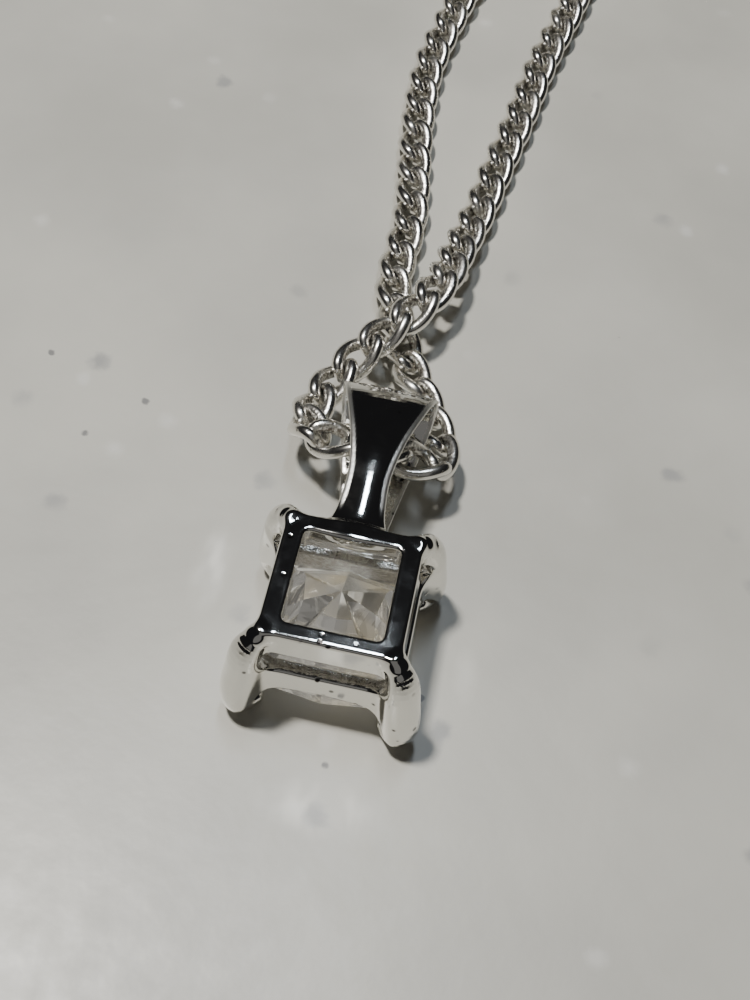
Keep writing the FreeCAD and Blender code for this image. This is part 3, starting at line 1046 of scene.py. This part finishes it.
@dataclass
class Chain:
    """A curb chain in two sides, from the middle of the bail to the clasp.  Sizes in millimetres
    from the stone's axis."""

    # the chain's hollow colour is painted shade: near-black on the side of each wire that faces
    # into its link
    finish: PolishedSilver = field(default_factory=lambda: PolishedSilver(
        name="chain_silver", colour=(0.86, 0.84, 0.79), smooth=0.22, rubbed=0.34,
        hollow_and_shade_colour=(0.13, 0.112, 0.09), pit_scale=2600.0, pits=0.6))
    half_length: float = 1.25
    half_width: float = 0.67
    wire: float = 0.30
    twist: float = -54.0
    straight: float = 0.62
    tip: float = 0.02
    pitch: float = 1.84
    fine: Sequence[int] = (36, 10)
    coarse: Sequence[int] = (12, 5)
    hank_centre: Sequence[float] = (0.6, 63.1)
    hank_half: float = 5.0
    hank_straight: float = 9.3
    hank_rise: float = 3.80
    hank_turns: int = 2
    hank_step: float = 3.0
    hank_bend: Sequence[float] = (0.42, 0.68)
    hank_edge: float = 7.5
    lie: float = 0.80
    clasp_z: float = 8.40
    end_reach: float = 5.355
    roll: float = 7.0
    seeds: dict[Side, int] = field(default_factory=lambda: {Side.LEFT: 7, Side.RIGHT: 11})
    diameter: float = 2.0
    routes: dict[Side, Sequence[Sequence[float]]] = field(default_factory=lambda: {
        Side.LEFT: ((0.0, 8.4, 3.1), (-2.1, 8.3, 3.1), (-3.4, 9.1, 2.5), (-3.5, 10.9, 1.8),
                    (-2.8, 13.0, 1.6), (-1.5, 15.2, 2.1), (0.1, 17.1, 2.6), (1.1, 19.6, 2.4),
                    (1.4, 22.6, 1.4), (2.0, 26.0, 0.8), (2.5, 30.0, 0.8), (3.2, 34.5, 0.8),
                    (3.7, 39.1, 0.8), (4.6, 43.6, 0.8), (5.4, 48.4, 0.9)),
        Side.RIGHT: ((0.0, 8.4, 3.1), (1.7, 8.3, 3.0), (2.6, 8.8, 2.3), (2.6, 10.3, 1.6),
                     (1.8, 12.3, 1.1), (0.3, 15.2, 0.8), (-1.1, 18.4, 0.8), (-1.5, 21.2, 0.8),
                     (-1.3, 24.8, 0.8), (-1.9, 28.8, 0.8), (-2.4, 32.9, 0.8), (-2.6, 37.0, 0.8),
                     (-2.1, 41.2, 0.8), (-1.4, 45.4, 0.8), (-0.4, 50.0, 0.8), (1.4, 55.0, 0.8),
                     (2.8, 60.0, 0.8), (3.2, 64.6, 0.8), (3.2, 69.2, 0.8), (3.0, 73.8, 0.8),
                     (2.7, 76.6, 0.8))})

    def arm(self, side: Side) -> Array:
        """Control points of one side of the hank and its way in to the clasp.  The plan is two
        straights joined by half circles; the strand climbs evenly along it, and the two sides are
        half a turn apart.

        Args:
            side: which side of the chain.

        Returns:
            The points.
        """
        turn = 4 * self.hank_straight + 2 * math.pi * self.hank_half
        quarter = math.pi * self.hank_half / 2
        start = 0.0 if side is Side.LEFT else -quarter
        stop = self.hank_turns * turn - 2 * quarter
        run = np.linspace(start, stop, round((stop - start) / self.hank_step) + 1)
        half_turns, rest = np.divmod(run, turn / 2)
        sign = 1 - 2 * (half_turns % 2)
        straight = rest < 2 * self.hank_straight
        angle = (rest - 2 * self.hank_straight) / self.hank_half
        x = np.where(straight, self.hank_half, self.hank_half * np.cos(angle))
        y = np.where(straight, rest - self.hank_straight,
                     self.hank_straight + self.hank_half * np.sin(angle))
        z = self.lie + self.hank_rise * (run + quarter) / turn
        near, far = (-self.hank_straight - self.hank_half * share for share in self.hank_bend)
        bend = np.array([(-self.hank_half, near, self.clasp_z),
                         (-self.hank_half / 2, far, self.clasp_z),
                         (0.0, near, self.clasp_z), (0.0, -self.hank_straight, self.clasp_z),
                         (0.0, -self.end_reach, self.clasp_z)])
        arm = np.concatenate([np.column_stack([sign * x, sign * y, z]), bend])
        mirror = 1.0 if side is Side.LEFT else -1.0
        return arm * (mirror, mirror, 1.0) + np.array([*self.hank_centre, 0.0])

    def line(self, side: Side) -> Array:
        """One side's smooth line, read from a spline on its control points.

        Args:
            side: which side of the chain.

        Returns:
            Closely spaced points in millimetres.
        """
        points = np.concatenate([self.routes[side], self.arm(side)]) + stone_centre()
        curve = bpy.data.curves.new(side.value + "_line", "CURVE")
        curve.dimensions = "3D"
        curve.resolution_u = 16
        spline = curve.splines.new("NURBS")
        spline.points.add(len(points) - 1)
        flat = np.column_stack([points * MM, np.ones(len(points))])
        spline.points.foreach_set("co", flat.ravel())
        spline.order_u = 3
        spline.use_endpoint_u = True
        holder = bpy.data.objects.new(side.value + "_line", curve)
        bpy.context.scene.collection.objects.link(holder)
        bpy.context.view_layer.update()
        mesh = bpy.data.meshes.new_from_object(holder.evaluated_get(
            bpy.context.evaluated_depsgraph_get()))
        read = np.zeros(len(mesh.vertices) * 3)
        mesh.vertices.foreach_get("co", read)
        bpy.data.objects.remove(holder)
        bpy.data.curves.remove(curve)
        bpy.data.meshes.remove(mesh)
        return read.reshape(-1, 3) / MM

    def link(self, rows: int, columns: int) -> Array:
        """One curb link: an oval whose two ends are turned opposite ways about its length.  Its
        middle line is (a cos t, w cos f, w sin f) with f = twist cos t and w = b sin t raised to
        a power below one, which keeps its sides straight; round it goes a circle of the wire's
        radius.

        Args:
            rows: steps along the wire.
            columns: steps round the wire.

        Returns:
            The points, rows by columns.
        """
        t = 2 * math.pi * np.arange(rows) / rows
        step = 1e-4

        def middle(at: Array) -> Array:
            """The link's middle line.

            Args:
                at: turns round the link, in radians.

            Returns:
                A point for each turn.
            """
            f = math.radians(self.twist) * np.cos(at)
            rise = np.sin(at)
            w = self.half_width * rise / (rise ** 2 + self.tip) ** (0.5 * (1 - self.straight))
            return np.column_stack([self.half_length * np.cos(at), w * np.cos(f), w * np.sin(f)])

        centre = middle(t)
        along = middle(t + step) - middle(t - step)
        along /= np.linalg.norm(along, axis=1, keepdims=True)
        out = centre - along * (centre * along).sum(1, keepdims=True)
        out /= np.linalg.norm(out, axis=1, keepdims=True)
        side = np.cross(along, out)
        a = 2 * math.pi * np.arange(columns) / columns
        ring = np.cos(a)[None, :, None] * out[:, None] + np.sin(a)[None, :, None] * side[:, None]
        return centre[:, None] + self.wire * ring

    @staticmethod
    def inner(columns: int) -> Array:
        """How much painted shade a link's wire gets round its section: dark where it faces into the
        link.

        Args:
            columns: steps round the wire.

        Returns:
            0 to 1 for each step.
        """
        return np.clip(0.15 - 1.1 * np.cos(2 * math.pi * np.arange(columns) / columns), 0, 1)

    def links(self, line: Array, shape: Sequence[int], wanted: Callable[[Array], Array],
              seed: int) -> tuple[Array, Array]:
        """Links set along a line at the pitch, each rolled a little its own way.

        Args:
            line: the line's points.
            shape: rows and columns of one link.
            wanted: tells which link centres to keep.
            seed: starts the random rolls.

        Returns:
            The points and faces of all the links.
        """
        run = np.concatenate([[0], np.cumsum(np.linalg.norm(np.diff(line, axis=0), axis=1))])
        count = round(run[-1] / self.pitch)
        at = np.linspace(0, run[-1], count + 1)[:-1]

        def on_line(s: Array) -> Array:
            """Points of the line.

            Args:
                s: distances along it.

            Returns:
                A point for each distance.
            """
            return np.column_stack([np.interp(s, run, line[:, i]) for i in range(3)])

        centre = on_line(at)
        along = on_line(at + 0.5) - on_line(at - 0.5)
        along /= np.linalg.norm(along, axis=1, keepdims=True)
        across = np.cross(UP, along)
        across /= np.linalg.norm(across, axis=1, keepdims=True)
        up = np.cross(along, across)
        draw = np.random.default_rng(seed).uniform(-self.roll, self.roll, len(centre))
        roll = np.radians(draw)[:, None]
        turned = across * np.cos(roll) + up * np.sin(roll)
        up = np.cross(along, turned)
        keep = wanted(centre)
        axes = np.stack([along, turned, up], 1)[keep]
        link = self.link(*shape).reshape(-1, 3)
        points = centre[keep][:, None] + np.einsum("pk,nki->npi", link, axes)
        faces = grid_faces(shape[0], shape[1], True)[:, ::-1]
        faces = faces[None] + (np.arange(len(points)) * len(link))[:, None, None]
        return points.reshape(-1, 3), faces.reshape(-1, 4)

    def build(self, side: Side, material: bpy.types.Material,
              riders: list[bpy.types.Object]) -> bpy.types.Object:
        """Make one side of the chain: fine links where it lies open, plainer ones in the hank.

        Args:
            side: which side.
            material: its finish.
            riders: the clasp's pieces for this side; not used.

        Returns:
            The chain's side.
        """
        line = self.line(side)
        seed = self.seeds[side]

        def put_away(centre: Array) -> Array:
            """Tell which links are in the hank.

            Args:
                centre: the links' middles.

            Returns:
                True for those in the hank.
            """
            offset = np.abs(centre[:, :2] - stone_centre()[:2] - np.array(self.hank_centre))
            past = np.maximum(offset[:, 1] - self.hank_straight, 0)
            return np.hypot(offset[:, 0], past) <= self.hank_edge

        def open_lay(centre: Array) -> Array:
            """Tell which links are outside the hank; the one in the bail is the left side's.

            Args:
                centre: the links' middles.

            Returns:
                True for those outside it.
            """
            away = ~put_away(centre)
            if side is Side.RIGHT:
                away[0] = False
            return away

        points, faces = self.links(line, self.fine, open_lay, seed)
        more, more_faces = self.links(line, self.coarse, put_away, seed)
        made = make_piece(side.value + "_chain", np.concatenate([points, more]),
                          np.concatenate([faces, more_faces + len(points)]), material)
        # painted shade on each wire's inner side, stored as the chain's "hollow" values
        dark = [np.resize(self.inner(shape[1]), len(part))
                for shape, part in ((self.fine, points), (self.coarse, more))]
        layer = made.data.attributes.new("hollow", "FLOAT", "POINT")
        layer.data.foreach_set("value", np.concatenate(dark).astype(np.float32))
        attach(made, "chain")
        if side is Side.LEFT:
            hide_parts("left_chain_links", "chain_hank")
        else:
            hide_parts("right_chain_links")
        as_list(riders)
        return made


# ---------------------------------------------------------------- the room

@dataclass(frozen=True)
class Lamp:
    """An oblong soft lamp: where it hangs, its width and length in millimetres, its power in
    watts and the colour of its light."""

    name: str
    place: Sequence[float]
    size: Sequence[float]
    power: float
    colour: Colour


@dataclass
class Studio:
    """The table, the lamps and the camera.  Sizes in millimetres from the stone's axis."""

    lens: float = 46.8
    azimuth: float = 3.8
    elevation: float = 56.6
    roll: float = 8.8
    depth: float = 49.7
    back_z: float = 5.8
    shift_right: float = 1.23
    shift_up: float = 3.19
    table_side: float = 900.0
    near: float = 1.0
    aim: Sequence[float] = (0.0, 3.0, 2.0)
    dark: Colour = (0.010, 0.010, 0.011)
    lamps: Sequence[Lamp] = (
        Lamp("key", (-70.0, 20.0, 260.0), (24.0, 24.0), 0.75, (1.0, 0.97, 0.92)),
        Lamp("strip", (-4.0, 62.0, 240.0), (20.0, 80.0), 0.12, (0.78, 0.88, 1.0)),
        Lamp("fill", (40.0, -230.0, 210.0), (280.0, 280.0), 0.035, (1.0, 0.98, 0.95)))

    def camera(self) -> bpy.types.Object:
        """Place the camera by its direction, its roll and its distance from the basket's back.

        Returns:
            The camera.
        """
        az, el, roll = (math.radians(v) for v in (self.azimuth, self.elevation, self.roll))
        back = np.array([math.sin(az) * math.cos(el), -math.cos(az) * math.cos(el), math.sin(el)])
        level = np.array([math.cos(az), math.sin(az), 0.0])
        above = np.cross(back, level)
        right = level * math.cos(roll) + above * math.sin(roll)
        up = above * math.cos(roll) - level * math.sin(roll)
        target = stone_centre() + np.array([0.0, 0.0, self.back_z])
        place = target + back * self.depth + right * self.shift_right + up * self.shift_up
        data = bpy.data.cameras.new("camera")
        data.lens = self.lens
        data.clip_start = self.near * MM
        made = bpy.data.objects.new("camera", data)
        matrix = np.eye(4)
        matrix[:3] = np.column_stack([right, up, back, place * MM])
        made.matrix_world = Matrix(matrix.tolist())
        bpy.context.scene.collection.objects.link(made)
        bpy.context.scene.camera = made
        return made

    def hang(self, lamp: Lamp) -> bpy.types.Object:
        """Hang one lamp so that it faces the pendant.

        Args:
            lamp: the lamp.

        Returns:
            Its object.
        """
        data = bpy.data.lights.new(lamp.name, "AREA")
        data.shape = "RECTANGLE"
        data.size, data.size_y = (side * MM for side in lamp.size)
        data.energy = lamp.power
        data.color = lamp.colour
        made = bpy.data.objects.new(lamp.name, data)
        where, aim = (Vector((stone_centre() + np.array(point)) * MM)
                      for point in (lamp.place, self.aim))
        turn = (where - aim).to_track_quat("Z", "Y").to_matrix().to_4x4()
        made.matrix_world = Matrix.Translation(where) @ turn
        bpy.context.scene.collection.objects.link(made)
        return made

    def build(self) -> list[bpy.types.Object]:
        """Lay the table, hang the lamps, set the surrounding dark and place the camera.

        Returns:
            The camera, the table and the lamps.
        """
        placed = [self.camera()]
        half = self.table_side / 2
        corners = np.array([(-half, -half, 0), (half, -half, 0), (half, half, 0), (-half, half, 0)])
        table = make_piece("table", corners.astype(float), np.array([[0, 1, 2, 3]]),
                           PaleTable().material(), False)
        placed += [table] + [self.hang(lamp) for lamp in self.lamps]
        world = bpy.data.worlds.new("room")
        world.use_nodes = True
        world.node_tree.nodes["Background"].inputs["Color"].default_value = (*self.dark, 1.0)
        bpy.context.scene.world = world
        return placed


# ---------------------------------------------------------------- the clasp

@dataclass
class BoltSpring:
    """The clasp's spring: a fine wire wound along the bored ring, between its stop and the bolt's
    tail.  Sizes in millimetres, angles in degrees from the eye's side."""

    finish: PolishedSilver = field(default_factory=lambda: PolishedSilver(
        name="spring_steel", colour=(0.62, 0.61, 0.59), smooth=0.18, rubbed=0.30, pits=0.2))
    ring: float = 2.15
    angles: Sequence[float] = (23.0, 101.0)
    radius: float = 0.28
    wire: float = 0.06
    turns: int = 12
    rows: int = 240
    columns: int = 6

    def build(self) -> bpy.types.Object:
        """Wind the wire along the ring between the clasp and its bolt.  Its middle line goes round
        the ring by an arc's angle and round the bore by its turns, both in even steps; a circle of
        the wire's radius is carried along it.

        Returns:
            The spring.
        """
        joint = next(j for j in frame["joints"] if j["name"] == "bolt_pull")
        centre = np.array(joint["pos_m"]) / MM
        share = np.linspace(0, 1, self.rows)[:, None]
        around = np.radians(self.angles[0] + (self.angles[1] - self.angles[0]) * share)
        out = np.column_stack([np.sin(around), -np.cos(around), np.zeros(self.rows)])
        wound = 2 * math.pi * self.turns * share
        aside = out * np.cos(wound) + UP * np.sin(wound)
        line = centre + out * self.ring + aside * self.radius
        along = np.gradient(line, axis=0)
        along /= np.linalg.norm(along, axis=1, keepdims=True)
        over = np.cross(along, aside)
        a = 2 * math.pi * np.arange(self.columns)[None, :, None] / self.columns
        ring = aside[:, None] * np.cos(a) + over[:, None] * np.sin(a)
        points = line[:, None] + self.wire * ring
        faces = grid_faces(self.rows, self.columns, False)[:, ::-1]
        made = make_piece("wound_spring", points.reshape(-1, 3), faces, self.finish.material())
        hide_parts("bolt_spring")
        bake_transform(made)
        return made


@dataclass
class Clasp:
    """The spring ring clasp and its rings: the solid model's own pieces, in polished silver."""

    finish: PolishedSilver = field(default_factory=lambda: PolishedSilver(
        name="clasp_silver", colour=(0.88, 0.875, 0.86), smooth=0.06, rubbed=0.16, pits=0.4))
    pieces: dict[Side, Sequence[str]] = field(default_factory=lambda: {
        Side.LEFT: ("left_end_link", "spring_ring_case", "spring_ring_eye",
                    "spring_ring_bolt", "clasp_jump_ring"),
        Side.RIGHT: ("right_end_link", "end_ring")})

    def build(self) -> dict[Side, list[bpy.types.Object]]:
        """Dress the pieces.

        Returns:
            The pieces that go with each side of the chain.
        """
        material = self.finish.material()
        riders = {side: [frame["nodes"][name] for name in names]
                  for side, names in self.pieces.items()}
        for piece in riders[Side.LEFT] + riders[Side.RIGHT]:
            piece.data.materials.clear()
            piece.data.materials.append(material)
        riders[Side.LEFT].append(BoltSpring().build())
        return riders


def main() -> None:
    """Build everything in order."""
    logging.basicConfig(level=logging.INFO, format="%(name)s: %(message)s")
    log_pieces(Studio().build())
    riders = Clasp().build()
    chain = Chain()
    chain_silver = chain.finish.material()
    for side in Side:
        log_pieces(riders[side])
        log_pieces([chain.build(side, chain_silver, riders[side])])
    log_pieces(Casting().build())
    log_pieces([Stone().build()])


if __name__ == "__main__":
    main()
